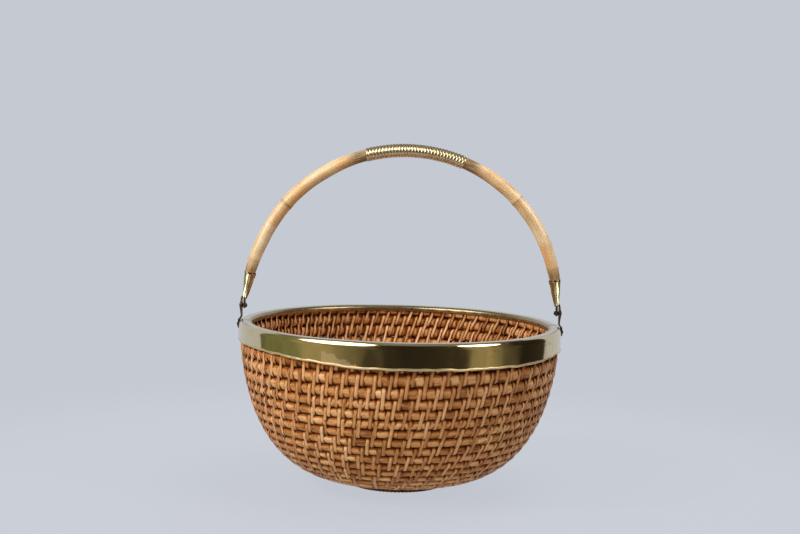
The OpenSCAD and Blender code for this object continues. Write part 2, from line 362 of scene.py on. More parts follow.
def coil_piece(name, u_from, u_to, material, node):
    """The rod between two turn counts (u_from is nearer the hub), pressed in under the strands."""
    step, sides = 1.3, 16
    # mm along the rod from a stitch's start to where it presses outside, inside and from the
    # turn above; the width of the dent and the length of the waves
    out_at, in_at, over_at, dent, wave = 2.4, 6.0, 0.7, 1.8, 700
    dense = np.linspace(u_from, u_to, 4000)
    r_dense = np.maximum(on_line(rod_line(dense))[0], HUB_R)
    run = np.concatenate([[0], np.cumsum(TURN * r_dense[1:] * np.abs(np.diff(dense)))])
    u = np.interp(np.arange(0, run[-1], step), run, dense)
    along = np.interp(u, dense[::-1], run[::-1])[:, None]
    s, high_r, deep_r, phi = rod_line(u), rod_radius(u), rod_depth(u), coil_angle(u)
    r = np.maximum(on_line(s)[0], HUB_R)
    ring = np.arange(sides) / sides
    beta = TURN * ring[None, :]
    order = np.sort(-STITCH_U)
    upper, outside = np.sin(beta), np.cos(beta)
    mine_out = nearest(-u - out_at / (TURN * r), order)
    mine_in = nearest(-u - in_at / (TURN * r), order)
    over = nearest(-(u - 1) - over_at / (TURN * r), order)
    mm = (TURN * r)[:, None]
    press = lambda d: np.exp(-(d[:, None] * mm / dent) ** 2)
    high, low = smooth_step(upper, -0.3, 0.4), smooth_step(-upper, -0.3, 0.4)
    outer, inner = smooth_step(outside, -0.2, 0.3), smooth_step(-outside, -0.2, 0.3)
    under = np.maximum(high * press(mine_out), low * press(over))
    pinch = np.clip(outer * under + inner * press(mine_in), 0, 1)
    wobble = (waves(along / wave, [7, 13, 23, 41], 0.10, 5)
              + waves(along / wave + 0.3 * np.sin(beta), [29, 53], 0.05, 8))
    ellipse = 1 + 0.02 * np.cos(2 * beta + along / 90)
    plump = 0.06 + wobble - (SINK_OUT + 0.15) * pinch * (0.3 + 0.7 * outer)
    swell = ellipse + plump / ROD_R
    down, out = wall_axes(s, phi)
    centre = in_wall(s, 0 * s, phi)
    points = (centre[:, None] + (deep_r[:, None] * swell * np.cos(beta))[..., None] * out[:, None]
              - (high_r[:, None] * swell * np.sin(beta))[..., None] * down[:, None])
    # Stain plus painted shade: darker towards the gaps between rows, a painted contact shadow
    # beside each strand and a painted shadow in the row that the hem overhangs.
    gap_side = smooth_step(np.abs(upper), 0.46, 0.88) * np.ones_like(along)
    under_hem = 0.8 * outer * hem_shade(s, phi)[:, None]
    beside = lambda d: 1 - smooth_step(np.abs(d)[:, None] * mm, 1.35, 2.9)
    shade_beside_strands = (outer * np.maximum(high * beside(mine_out), low * beside(over))
               + inner * beside(mine_in))
    stain_and_shade = np.clip(0.95 * gap_side + 0.9 * shade_beside_strands * (1 - gap_side) + under_hem, 0, 1)
    # a tone that changes from one visible stretch of rod to the next
    count = np.searchsorted(order, -u)
    tone = rng.random(len(order) + 2)[count][:, None]
    values = {"along": along, "around": ring[None, :], "stain_and_shade": stain_and_shade, "tone": tone}
    finish_piece(tube(name, points, values), "bowl", material, "rattan_rod", node)


# ---- the lashing strand

def stitch_steps():
    """One stitch's path: share of the way from the lower rod to the upper, direction round."""
    quarter, run = 5, 4
    w, angle = [], []
    for w0, w1, a0, a1, n in [
            (0, 0, 0, 90, quarter), (0, 1, 90, 90, run), (1, 1, 90, 180, quarter),
            (1, 1, 180, 270, quarter), (1, 0, 270, 270, run), (0, 0, 270, 360, quarter)]:
        t = np.arange(n) / n
        w.append(w0 + (w1 - w0) * t)
        angle.append(np.radians(a0 + (a1 - a0) * t))
    return np.concatenate(w), np.concatenate(angle)


def lashing_path():
    """Centre, outward direction, width, and attributes of every step of the one long strand."""
    w, turn = stitch_steps()
    n, m = len(STITCH_U) - 1, len(w)
    u0 = STITCH_U[:-1, None]
    gap_u = u0 - STITCH_U[1:, None]
    s_up, s_low = rod_line(u0), rod_line(u0 + 1)
    s_low = np.minimum(s_low, LINE_END - 1.2)
    r_mid = np.maximum(on_line((s_up + s_low) / 2)[0], 4.0)
    slant = OUT_ADVANCE + rng.normal(0, 0.35, (n, 1))
    slant = slant * np.minimum(1, stitch_spacing(r_mid) / WIDE)
    up_share = np.clip(slant / (TURN * r_mid) / gap_u, 0.1, 0.6)
    # arc length share of each step inside its half of the stitch
    half = m // 2
    rod_arc = ROD_R * math.pi / 2
    lengths = np.where(np.abs(np.sin(turn)) > 0.99, ROW / 4, rod_arc / 5)
    out_share = np.concatenate([[0], np.cumsum(lengths[:half])])[:half] / lengths[:half].sum()
    in_share = np.concatenate([[0], np.cumsum(lengths[half:])])[:-1] / lengths[half:].sum()
    share = np.concatenate([out_share, in_share])[None, :]
    first = (np.arange(m) < half)[None, :]
    progress = np.where(first, up_share * share, up_share + (1 - up_share) * share)
    u = u0 - gap_u * progress
    phi = coil_angle(u)
    slack = STRAND_T / 2 + 0.02 + np.abs(rng.normal(0, 0.06, (n, 1)))
    q = rod_radius(u0 + 1) * (1 - w) + rod_radius(u0) * w + slack - 0.45
    depth = rod_depth(u0 + 1) * (1 - w) + rod_depth(u0) * w + slack
    dip = 0.45 * np.sin(math.pi * w) * (np.abs(np.sin(turn)) > 0.99)
    dip = dip + np.where(np.sin(turn) > 0, SINK_OUT, SINK_IN) * np.sin(turn) ** 2
    lift = np.where(np.sin(turn) < 0, smooth_step(1 - w, 0.25, 0.8), 0)
    lift = lift * np.clip(-np.sin(turn), 0, 1) ** 0.7 * 0.8
    s = s_low + (s_up - s_low) * w + q * np.cos(turn)
    h = (depth - dip) * np.sin(turn) - lift
    s = np.minimum(s, LINE_END - 0.4)
    centre = in_wall(s, h, phi)
    down, out = wall_axes(s, phi)
    normal = np.cos(turn)[None, :, None] * down + np.sin(turn)[None, :, None] * out
    width = STRAND_W * (1 + 0.05 * rng.normal(0, 1, (n, 1))) * np.ones((1, m))
    width = width * np.clip(stitch_spacing(r_mid) / 9.0, 0.72, 1) * (0.97 + 0.15 * np.sin(turn))
    tone = rng.random((n, 1)) * np.ones((1, m))
    # Stain plus painted shade on the strand: darker where it dives into the gaps between rods, and
    # a painted shadow on its outside under the hem.
    stain_and_shade = 0.9 * smooth_step(np.abs(np.cos(turn)), 0.55, 0.97) * np.ones((n, 1))
    stain_and_shade = np.clip(stain_and_shade + 0.4 * (np.sin(turn) > 0) * hem_shade(s, phi), 0, 1)
    parts = (centre, normal, width, tone, stain_and_shade, np.broadcast_to(u, (n, m)))
    return [x.reshape(-1, *x.shape[2:]) for x in parts]


SECTION = np.array([(-1.0, -0.05), (-0.8, 0.24), (-0.4, 0.42), (0, 0.47), (0.4, 0.42), (0.8, 0.24),
                    (1.0, -0.05), (0.86, -0.36), (0, -0.45), (-0.86, -0.36)])


def ribbon(name, centre, normal, width, thickness, tone, stain_and_shade, material, *nodes):
    """A crowned flat strand swept along a path; normal points away from what it lies on."""
    tangent = unit(np.gradient(centre, axis=0))
    side = unit(np.cross(tangent, normal))
    face = unit(np.cross(side, tangent))
    across = SECTION[:, 0][None, :, None] * (width / 2)[:, None, None]
    proud = SECTION[:, 1][None, :, None] * thickness
    points = centre[:, None] + side[:, None] * across + face[:, None] * proud
    along = np.concatenate([[0], np.cumsum(np.linalg.norm(np.diff(centre, axis=0), axis=1))])
    # Painted shade along both edges of each strand, where it meets the rod.
    edges = smooth_step(np.abs(SECTION[:, 0]), 0.5, 1.05)[None, :]
    values = {"along": along[:, None], "around": SECTION[:, 0][None, :] * 0.5,
              "tone": tone[:, None], "stain_and_shade": np.maximum(stain_and_shade[:, None], edges)}
    finish_piece(tube(name, points, values), "bowl", material, "rattan_strand", *nodes)


def lashing_pieces(material):
    """Cuts the long strand into pieces of a few turns each."""
    centre, normal, width, tone, stain_and_shade, u = lashing_path()
    cuts = [99, SPLIT_TURN, 12.5, 8.2, 4.2, -1]
    names = ["base_lashing_strand", "wall_lashing_strand_a", "wall_lashing_strand_b",
             "wall_lashing_strand_c", "wall_lashing_strand_d"]
    nodes = [["base_lashing"], ["outer_lashing", "inner_lashing"], [], [], []]
    for name, hi, lo, stands_for in zip(names, cuts[:-1], cuts[1:], nodes):
        keep = (u <= hi) & (u > lo)
        ribbon(name, centre[keep], normal[keep], width[keep], STRAND_T, tone[keep], stain_and_shade[keep],
               material, *stands_for)


# ---- the foot ring

def foot_ring(rod_material, strand_material):
    """A rod bent into a ring under the base and wrapped all round, worn flat where it stands."""
    rod_r = 2.45
    ring_r = FOOT_OUT_R - rod_r - STRAND_T
    mid_z = FOOT_H / 2
    a, b = round_angles(260)[:, None], round_angles(14)[None, :]
    r = ring_r + rod_r * np.cos(b) + waves(a / TURN, [5, 9, 14], 0.08, 3)
    # The ring rod is painted half in shade, as it stands in the shadow under the base.
    values = {"along": a * ring_r, "around": b / TURN, "stain_and_shade": 0.5, "tone": 0.4}
    points = polar(r, a, mid_z + rod_r * np.sin(b) + 0 * a)
    ring = tube("foot_ring_rod", points, values, ring=True)
    finish_piece(ring, "bowl", rod_material, "rattan_rod", "foot_coil")
    wraps, steps = 76, 22
    t = np.arange(wraps * steps + 1) / steps
    a, b = TURN * t / wraps, TURN * t
    q = rod_r + STRAND_T / 2 + 0.03
    z = np.maximum(mid_z + q * np.sin(b), STRAND_T / 2)
    centre = polar(ring_r + q * np.cos(b), a, z)
    normal = polar(np.cos(b), a, np.sin(b))
    tone = rng.random(wraps + 1)[t.astype(int)]
    # The wrapping is painted fully in shade, as the foot stands in the shadow under the base.
    ribbon("foot_wrapping", centre, normal, np.full(len(t), 3.0), STRAND_T - 0.02,
           tone, np.ones(len(t)), strand_material, "foot_lashing")


# ---- the brass rim

def arc(cx, cz, rx, rz, a0, a1, n):
    a = np.radians(np.linspace(a0, a1, n))
    return np.stack([cx + rx * np.cos(a), cz + rz * np.sin(a)], axis=1)


def band_profile():
    """The sheet's section from hem to inner lip: points, outward directions, the lip's radius."""
    edge_r, shoulder, lip_h = 2.6, 5.0, 4.7
    lip_r = COIL_R - HALF_WALL - BAND_GAP - SHEET_T
    out_c, in_c = (RIM_R - edge_r, BOWL_H - shoulder), (lip_r + edge_r, BOWL_H - edge_r)
    wall = np.linspace((RIM_R, HEM_Z), (RIM_R, BOWL_H - shoulder), 15)[:-1]
    top = np.linspace((out_c[0], BOWL_H), (in_c[0], BOWL_H), 5)[1:-1]
    lip = np.linspace((lip_r, BOWL_H - edge_r), (lip_r, BOWL_H - lip_h), 5)[1:]
    outer = np.vstack([wall, arc(*out_c, edge_r, shoulder, 0, 90, 13), top,
                       arc(*in_c, edge_r, edge_r, 90, 180, 9), lip])
    tangent = unit(np.gradient(outer, axis=0))
    away = np.stack([tangent[:, 1], -tangent[:, 0]], axis=1)
    return outer, away, lip_r


def rim_band(material):
    """The folded brass band: a wavy hem, faint dents, a crimped inner lip and two lapped joints."""
    outer, away, lip_r = band_profile()
    # the joints' starts, length and edges as angles: one joint beside each ear
    lap_from = math.asin(7.0 / RIM_R)
    lap_at = [lap_from, math.pi + lap_from]
    lap_len, lap_edge = 5.0 / RIM_R, 0.0012
    base = np.linspace(0, TURN, 768, endpoint=False)
    extra = [x + e + k * lap_edge for x in lap_at for e in (0, lap_len) for k in (-1, 0, 1)]
    a = np.sort(np.concatenate([base, np.array(extra) % TURN]))
    turns = (a / TURN)[:, None]
    low = (np.clip((HEM_Z + 12 - outer[:, 1]) / 12, 0, 1) * (outer[:, 0] > RIM_R - 1))[None, :]
    tip = (smooth_step(BOWL_H - 1.5 - outer[:, 1], 0, 3.0) * (outer[:, 0] < lip_r + 1))[None, :]
    lap = sum(smooth_step(a, x - lap_edge, x)
              * (1 - smooth_step(a, x + lap_len, x + lap_len + lap_edge)) for x in lap_at)
    height = np.linspace(0, 1, len(outer))[None, :]
    dents = (waves(turns + 0.01 * height, [3, 5, 8, 13], 0.06, 11)
             + waves(turns - 0.02 * height, [17, 27, 38], 0.022, 12))
    stand = 1.3 * dents + 0.16 * lap[:, None] + waves(turns, [22, 37, 51], 0.10, 13) * low
    crimp = np.sin(TURN * 60 * turns + 1.5 * np.sin(TURN * 7 * turns))
    stand = stand + 0.14 * tip * crimp
    rise = ((waves(turns, [11, 19, 31, 47], 0.30, 14) + hem_lift(a)[:, None]) * low
            + (0.12 * crimp + waves(turns, [9, 23], 0.2, 15)) * tip)
    sweep = np.stack([np.cos(a), np.sin(a)], axis=1)[:, None, :]

    def place(rz, lift):
        r = rz[None, :, 0] + away[None, :, 0] * lift
        z = rz[None, :, 1] + away[None, :, 1] * lift + rise
        return np.concatenate([r[..., None] * sweep, z[..., None]], axis=-1)

    skin, back = place(outer, stand), place(outer, stand - SHEET_T)
    points = np.concatenate([skin, back[:, ::-1]], axis=1)
    edge = np.concatenate([height[0], height[0][::-1]])[None, :]
    rows, cols = points.shape[:2]
    verts, quads = points.reshape(-1, 3), grid_faces(rows, cols, ring=True)
    # the folded bead along the lower edge
    sides = 10
    b = round_angles(sides)[None, :]
    hem_rise, hem_out = rise[:, :1], stand[:, :1]
    size = (1 + waves(turns, [40, 63, 88], 0.10, 16) - 0.4 * np.cos(a)[:, None] ** 8)
    r = RIM_R - 0.3 + hem_out + size * np.cos(b)
    z = HEM_Z + hem_rise + size * np.sin(b)
    bead = np.concatenate([r[..., None] * sweep, z[..., None]], axis=-1)
    verts = np.vstack([verts, bead.reshape(-1, 3)])
    quads = np.vstack([quads, grid_faces(rows, sides, ring=True, start=rows * cols)])

    def both(on_sheet, on_bead):
        return np.concatenate([np.broadcast_to(on_sheet, (rows, cols)).ravel(),
                               np.broadcast_to(on_bead, (rows, sides)).ravel()])

    run = a[:, None] * RIM_R
    values = {"along": both(run, run), "edge": both(edge, 0.0), "bead": both(0.0, 1.0)}
    band = make_mesh("rim_band_sheet", verts, quads, None, values, sharp=50)
    finish_piece(band, "bowl", material, "polished_brass", "rim_band")


# ---- the handle

def hoop_frame(a):
    """Centre, outward and sideways directions of the hoop at angle a (radians, 0 at +X)."""
    out = np.stack([np.cos(a), 0 * a, np.sin(a)], axis=-1)
    centre = HOOP_R * out + np.array([0, 0, HOOP_Z])
    free = smooth_step(np.sin(a), np.where(np.cos(a) < 0, -0.25, 0.2), 0.6)
    centre[..., 0] += free * (2.4 - 1.1 * np.cos(a))
    side = np.broadcast_to(np.array([0.0, 1.0, 0.0]), out.shape)
    return centre, out, side


NODES_DEG = [(15.5, 0.14), (44.6, 0.42), (140.0, 0.42), (163.8, 0.14)]


def cane(material):
    """The bent cane: tapered into the ferrules, with low swellings at its nodes."""
    end = 9.2
    a = np.radians(np.concatenate([[end], np.arange(end + 0.25, 180 - end, 0.42), [180 - end]]))
    deg = np.degrees(a)
    from_end = np.minimum(deg, 180 - deg)
    radius = np.interp(from_end, [9.2, 11.6, 17, 24, 40], [3.6, 4.25, 4.9, 5.3, CANE_R])
    run = np.radians(deg) * HOOP_R
    node_mark = 0
    for node, size in NODES_DEG:
        d = (deg - node) * math.pi / 180 * HOOP_R
        radius = radius + size * np.exp(-(d / 2.2) ** 2) - 0.55 * size * np.exp(-(d / 0.55) ** 2)
        node_mark = node_mark + 2 * size * np.exp(-(d / 1.1) ** 2)
    radius = radius + waves(a / TURN, [9, 17, 31], 0.06, 21)
    grip = 1 - smooth_step(np.abs(deg - GRIP_MIDDLE), 19, 34)
    radius = radius * (1 - grip) + GRIP_R * grip
    centre, out, side = hoop_frame(a)
    sway = waves(a / TURN, [3, 5, 8], 0.35, 22) * smooth_step(from_end, 14, 40) * (1 - grip)
    centre = centre + out * sway[:, None]
    sides = 36
    ring = np.arange(sides) / sides
    b = TURN * ring[None, :, None]
    bumps = 1 + 0.006 * np.sin(3 * b + run[:, None, None] / 60) + 0.004 * np.sin(7 * b)
    round_it = np.cos(b) * out[:, None] + np.sin(b) * side[:, None]
    points = centre[:, None] + radius[:, None, None] * bumps * round_it
    near_grip = np.exp(-((np.abs(deg - GRIP_MIDDLE) - 20) / 5.0) ** 2)
    near_end = np.exp(-((from_end - 12.5) / 2.9) ** 2)
    values = {"along": run[:, None], "around": ring[None, :],
              "stain": np.clip(near_grip + 0.8 * near_end, 0, 1)[:, None],
              "node": np.clip(node_mark, 0, 1)[:, None]}
    finish_piece(tube("cane_bow", points, values), "handle", material, "pale_cane", "cane_hoop")


def grip_wire(material):
    """One half-round wire wound round the top of the cane, its ends tucked under the last turns."""
    turns, span = 31, 36.8
    steps = 40
    t = np.arange(turns * steps + 1) / steps
    a = np.radians(GRIP_MIDDLE + span / 2 - span * t / turns)
    centre, out, side = hoop_frame(a)
    b = TURN * t
    wire_r = 1.32
    loose = 0.05 * np.sin(t * 2.3) + 0.04 * np.sin(t * 5.1)
    q = GRIP_R + 0.10 + np.abs(loose)
    q = q - 0.6 * (1 - smooth_step(t, 0, 0.5)) - 0.6 * (1 - smooth_step(turns - t, 0, 0.5))
    radial = out * np.cos(b)[:, None] + side * np.sin(b)[:, None]
    path = centre + radial * q[:, None]
    lean = unit(np.gradient(path, axis=0))
    across = unit(np.cross(lean, radial))
    c = round_angles(10)
    flat = np.where(np.sin(c) > 0, np.sin(c) * 0.62, np.sin(c) * 0.10)
    points = (path[:, None] + across[:, None] * (wire_r * np.cos(c))[None, :, None]
              + radial[:, None] * flat[None, :, None])
    finish_piece(tube("grip_wire", points), "handle", material, "brass_wire", "grip_winding")


def ferrule(side, name, material):
    """A cone rolled from sheet: its edge laps on the inner side and its mouth is crimped."""
    tip = np.array([RIM_R - 3.35, 0, PIVOT_Z + 5.4])
    angle = math.radians(11.6)
    top = hoop_frame(np.array(angle if side > 0 else math.pi - angle))[0] * np.array([side, 1, 1])
    axis = unit(top - tip)
    y_dir = np.array([0, 1.0, 0])
    x_dir = unit(np.cross(y_dir, axis))
    length = np.linalg.norm(top - tip)
    rows, cols = 30, 90
    t = np.linspace(0, 1, rows)[:, None]
    lap = 0.5
    psi = np.linspace(0, TURN + lap, cols)[None, :]
    radius = 1.3 + (4.8 - 1.3) * t ** 0.85
    fold = 0.42 * smooth_step(psi, TURN - 0.10, TURN + 0.12)
    crease = 0.12 * (1 - t) * np.sin(5 * psi + 0.6) + 0.04 * np.sin(9 * psi)
    mouth = 0.10 * smooth_step(t, 0.93, 1.0) * np.sin(14 * psi) - 0.30 * smooth_step(t, 0.965, 1.0)
    dents = 0.07 * np.sin(11 * t + 2 * np.sin(2 * psi) + side)
    outer = radius + fold + crease + mouth + dents
    start = math.radians(150)
    turn = psi + start
    wander = 0.15 * np.sin(t * 9) * (psi > TURN)

    def place(r):
        return (tip + axis * (t * length)[..., None]
                + (r * np.cos(turn + wander))[..., None] * x_dir
                + (r * np.sin(turn + wander))[..., None] * y_dir)

    skin, back = place(outer), place(outer - 0.4)
    points = np.concatenate([skin, back[:, ::-1]], axis=1)
    points[..., 0] *= side
    n = points.shape[1]
    quads = grid_faces(rows, n)
    j = np.arange(cols - 1)
    first = np.stack([j, j + 1, n - 2 - j, n - 1 - j], axis=-1)
    last = first[:, ::-1] + (rows - 1) * n
    quads = np.vstack([quads, first, last])
    values = {"height": np.broadcast_to(t, (rows, n)),
              "around": np.tile(np.concatenate([psi[0], psi[0][::-1]]) / TURN, rows)}
    piece = make_mesh(name, points, quads, None, values, sharp=55)
    finish_piece(piece, "handle", material, "aged_brass", name.replace("_cone", ""))


# ---- pivots

def plate(name, side, outline, hole_r, x_face, thickness, rings):
    """A flat plate on the pivot's line with a round hole in it.

    outline(angle) is its reach from the hole's middle and x_face(y, z) is its inner face.
    """
    around = 120
    a = round_angles(around)
    share = np.linspace(0, 1, rings) ** 1.2
    r = hole_r + (outline(a)[None, :] - hole_r) * share[:, None]
    y, z = r * np.cos(a), r * np.sin(a)
    soft = np.sqrt(np.clip(1 - ((share - 0.5) / 0.5) ** 8, 0, 1))[:, None] * np.ones_like(a)
    half = thickness(y, z) / 2
    middle, bulge = x_face(y, z) + half, half * (0.55 + 0.45 * soft)
    front = np.stack([middle - bulge, y, z], axis=-1)
    back = np.stack([middle + bulge, y, z], axis=-1)
    verts = np.concatenate([front, back[::-1]], axis=0)
    verts[..., 2] += PIVOT_Z
    verts[..., 0] *= side
    return make_mesh(name, verts, grid_faces(2 * rings, around, ring=True), sharp=40)


def ear(side, name, material):
    """A leaf-shaped ear: a strap nailed to the band, jogged in over the rim, thick at the pin."""
    top, foot = 7.4, PIVOT_Z - (BOWL_H - 7.5)
    strap_x, ear_x = RIM_R + 0.05, RIM_R - 1.8

    def outline(a):
        y, z = np.cos(a), np.sin(a)
        leaf = 1 / (np.abs(y / 4.6) ** 1.7 + np.abs(np.maximum(z, 0) / top) ** 1.7) ** (1 / 1.7)
        strap = np.minimum(4.6 / np.maximum(np.abs(y), 1e-3), foot / np.maximum(-z, 1e-3))
        return np.where(z > 0, leaf, strap)

    def x_face(y, z):
        zz = z + PIVOT_Z
        jog = smooth_step(zz, BOWL_H - 0.6, BOWL_H + 1.1)
        return strap_x + (ear_x - strap_x) * jog

    def thickness(y, z):
        heights = [BOWL_H - 7.5, BOWL_H - 1, BOWL_H + 1, BOWL_H + 4,
                   PIVOT_Z - 2, PIVOT_Z + 2, PIVOT_Z + 7]
        return np.interp(z + PIVOT_Z, heights, [1.5, 1.2, 0.95, 0.9, 1.7, 1.7, 0.9])

    piece = plate(name, side, outline, 1.1, x_face, thickness, rings=26)
    finish_piece(piece, "bowl", material, "tarnished_brass", name.replace("_leaf", ""))


def tongue(side, name, material):
    """The flat tongue under the ferrule, rounded at the pin and narrowing into the cone."""
    def outline(a):
        y, z = np.cos(a), np.sin(a)
        neck = np.minimum(1.45 / np.maximum(np.abs(y), 1e-3), 7.5 / np.maximum(z, 1e-3))
        return np.where(z > 0, np.maximum(2.45, neck), 2.45)

    def x_face(y, z):
        return RIM_R - 4.4 + 0 * y

    def thickness(y, z):
        return np.interp(z, [-2.5, 2, 6, 7.5], [1.7, 1.7, 1.5, 1.3])

    piece = plate(name, side, outline, 1.16, x_face, thickness, rings=12)
    finish_piece(piece, "handle", material, "tarnished_brass", name.replace("_strip", ""))


def lathe_x(name, stations, z0, side, uneven, around=40):
    """A solid turned about a line along X at height z0: stations are (x, radius)."""
    st = np.array(stations)
    a = round_angles(around)[None, :]
    r = st[:, 1:2] * (1 + uneven * np.sin(3 * a + 1.1) + 0.6 * uneven * np.sin(5 * a))
    x = np.broadcast_to(st[:, 0:1], r.shape) * side
    points = np.stack([x, r * np.cos(a), z0 + r * np.sin(a)], axis=-1)
    return tube(name, points, sharp=38)


def dome(x0, x1, r):
    """Stations of a low rounded head from its rim at x0 to its crown at x1."""
    return [(x0 + (x1 - x0) * math.sin(k), r * max(math.cos(k), 0.06))
            for k in np.linspace(0, 1, 6) * math.pi / 2]


def pin(side, name, material):
    """The pivot pin: head inside, shoulder between tongue and ear, clinched end outside."""
    head = RIM_R - 4.65
    shank = [(head, 1.65), (head, 1.1), (RIM_R - 2.4, 1.1), (RIM_R - 2.4, 1.6), (RIM_R - 1.8, 1.6),
             (RIM_R - 1.8, 1.08), (RIM_R - 0.1, 1.08), (RIM_R - 0.1, 1.65)]
    stations = (dome(head - 0.45, head - 1.2, 1.7)[::-1] + shank
                + dome(RIM_R + 0.15, RIM_R + 0.7, 1.7))
    piece = lathe_x(name, stations, PIVOT_Z, side, 0.03)
    finish_piece(piece, "bowl", material, "tarnished_brass", name.replace("_rivet", ""))


def ear_nail(side, name, material):
    """The domed nail that holds an ear's strap to the band and the rod behind it."""
    x0 = RIM_R + 0.05
    stations = [(x0 - 3.4, 0.15), (x0 - 2.6, 0.68), (x0 + 1.5, 0.68), (x0 + 1.5, 1.5)]
    stations += dome(x0 + 1.6, x0 + 2.45, 1.5)
    piece = lathe_x(name, stations, BOWL_H - 4.6, side, 0.04, around=28)
    finish_piece(piece, "bowl", material, "tarnished_brass", name.replace("_head", ""))


# ---- materials

def add(tree, kind, inputs=(), **props):
    """A node with its properties set and its inputs linked or filled in."""
    node = tree.nodes.new(kind)
    for key, value in props.items():
        setattr(node, key, value)
    for key, value in dict(inputs).items():
        if isinstance(value, bpy.types.NodeSocket):
            tree.links.new(value, node.inputs[key])
        else:
            node.inputs[key].default_value = value
    return node


def attribute(tree, name):
    return add(tree, "ShaderNodeAttribute", attribute_name=name).outputs["Fac"]


def math_node(tree, operation, a, b, clamp=False):
    return add(tree, "ShaderNodeMath", {0: a, 1: b}, operation=operation,
               use_clamp=clamp).outputs[0]


def times(tree, a, b, clamp=False):
    return math_node(tree, "MULTIPLY", a, b, clamp)


def plus(tree, a, b):
    return math_node(tree, "ADD", a, b)


def noise(tree, vector, scale, detail, roughness=0.55, distortion=0.0):
    inputs = {"Vector": vector, "Scale": scale, "Detail": detail, "Roughness": roughness,
              "Distortion": distortion}
    return add(tree, "ShaderNodeTexNoise", inputs).outputs["Fac"]


def grain(tree, place, stretch, detail, roughness, distortion=0.0):
    """Noise over a place given as three numbers, each stretched on its own."""
    parts = {axis: times(tree, a, b) for axis, a, b in zip("XYZ", place, stretch)}
    vector = add(tree, "ShaderNodeCombineXYZ", parts).outputs[0]
    return noise(tree, vector, 1.0, detail, roughness, distortion)


def spread(tree, value, lo, hi, to_lo=0.0, to_hi=1.0):
    """Maps lo..hi of a value to another range and stops at its ends."""
    return add(tree, "ShaderNodeMapRange", {0: value, 1: lo, 2: hi, 3: to_lo, 4: to_hi}).outputs[0]


def ramp(tree, value, stops):
    node = add(tree, "ShaderNodeValToRGB", {"Fac": value})
    points = node.color_ramp.elements
    while len(points) < len(stops):
        points.new(0.5)
    for point, (at, colour) in zip(points, stops):
        point.position = at
        point.color = (*colour, 1)
    return node.outputs["Color"]


def mix(tree, share, a, b, blend="MIX"):
    node = add(tree, "ShaderNodeMix", data_type="RGBA", blend_type=blend)
    for index, value in ((0, share), (6, a), (7, b)):
        if isinstance(value, bpy.types.NodeSocket):
            tree.links.new(value, node.inputs[index])
        else:
            node.inputs[index].default_value = (*value, 1) if index else value
    return node.outputs[2]


def bump(tree, height, distance_mm, strength):
    return add(tree, "ShaderNodeBump", {"Height": height, "Distance": distance_mm * MM,
                                        "Strength": strength}).outputs[0]


def new_material(name, **fixed):
    """A material with its shader's constant values set on the sockets themselves."""
    material = bpy.data.materials.new(name)
    material.use_nodes = True
    tree = material.node_tree
    shader = tree.nodes["Principled BSDF"]
    for key, value in fixed.items():
        shader.inputs[key.replace("_", " ")].default_value = value
    return material, tree, shader


def connect(tree, shader, colour, roughness, normal=None):
    tree.links.new(colour, shader.inputs["Base Color"])
    tree.links.new(roughness, shader.inputs["Roughness"])
    if normal is not None:
        tree.links.new(normal, shader.inputs["Normal"])


def position_mm(tree):
    """The point on the object, in millimetres."""
    coords = add(tree, "ShaderNodeTexCoord").outputs["Object"]
    return add(tree, "ShaderNodeVectorMath", {0: coords, 1: (1 / MM, 1 / MM, 1 / MM)},
               operation="MULTIPLY").outputs[0]


def rattan(name, dark, middle, light, gloss, fibre_count):
    """Varnished rattan: long fibres, a tone for each visible stretch, stain and painted shade
    darkening the gaps.
    """
    material, tree, shader = new_material(name, Coat_Weight=gloss, Coat_Roughness=0.25, IOR=1.45)
    shader.inputs["Specular Tint"].default_value = (1.0, 0.62, 0.36, 1)
    shader.inputs["Specular IOR Level"].default_value = 0.38
    tone, stain_and_shade = attribute(tree, "tone"), attribute(tree, "stain_and_shade")
    strip = (attribute(tree, "along"), attribute(tree, "around"), tone)
    fibres = grain(tree, strip, (0.10, fibre_count, 9.0), 4.0, 0.6)
    threads = grain(tree, strip, (0.35, fibre_count * 3.2, 5.0), 2.0, 0.5)
    patches = grain(tree, strip, (0.045, 1.6, 4.0), 3.0, 0.5)
    body = plus(tree, times(tree, fibres, 0.50), times(tree, patches, 0.45))
    body = plus(tree, body, spread(tree, tone, 0, 1, -0.13, 0.13))
    colour = ramp(tree, spread(tree, body, 0.25, 0.72), [(0.0, dark), (0.45, middle), (1.0, light)])
    colour = mix(tree, spread(tree, threads, 0.56, 0.74, 0, 0.55), colour,
                 tuple(c * 0.45 for c in dark))
    freckles = noise(tree, position_mm(tree), 0.75, 3.0, 0.6)
    colour = mix(tree, spread(tree, freckles, 0.62, 0.78, 0, 0.5), colour,
                 tuple(c * 0.6 for c in dark))
    broken = noise(tree, position_mm(tree), 0.35, 2.0, 0.6)
    # Stain and painted shade: the mask, broken up by noise, first deepens the colour to a saturated
    # brown, then turns it nearly black.
    stain_and_shade_share = times(tree, stain_and_shade, spread(tree, broken, 0.3, 0.7, 0.65, 1.15), clamp=True)
    colour = mix(tree, spread(tree, stain_and_shade_share, 0.05, 0.50), colour, (0.72, 0.44, 0.24), "MULTIPLY")
    colour = mix(tree, spread(tree, stain_and_shade_share, 0.35, 1.0), colour, (0.040, 0.009, 0.0015))
    rough = spread(tree, plus(tree, fibres, times(tree, stain_and_shade, 0.5)), 0.3, 1.1, 0.32, 0.85)
    ridge = bump(tree, plus(tree, fibres, times(tree, threads, 0.5)), 0.16, 0.8)
    connect(tree, shader, colour, rough, ridge)
    return material


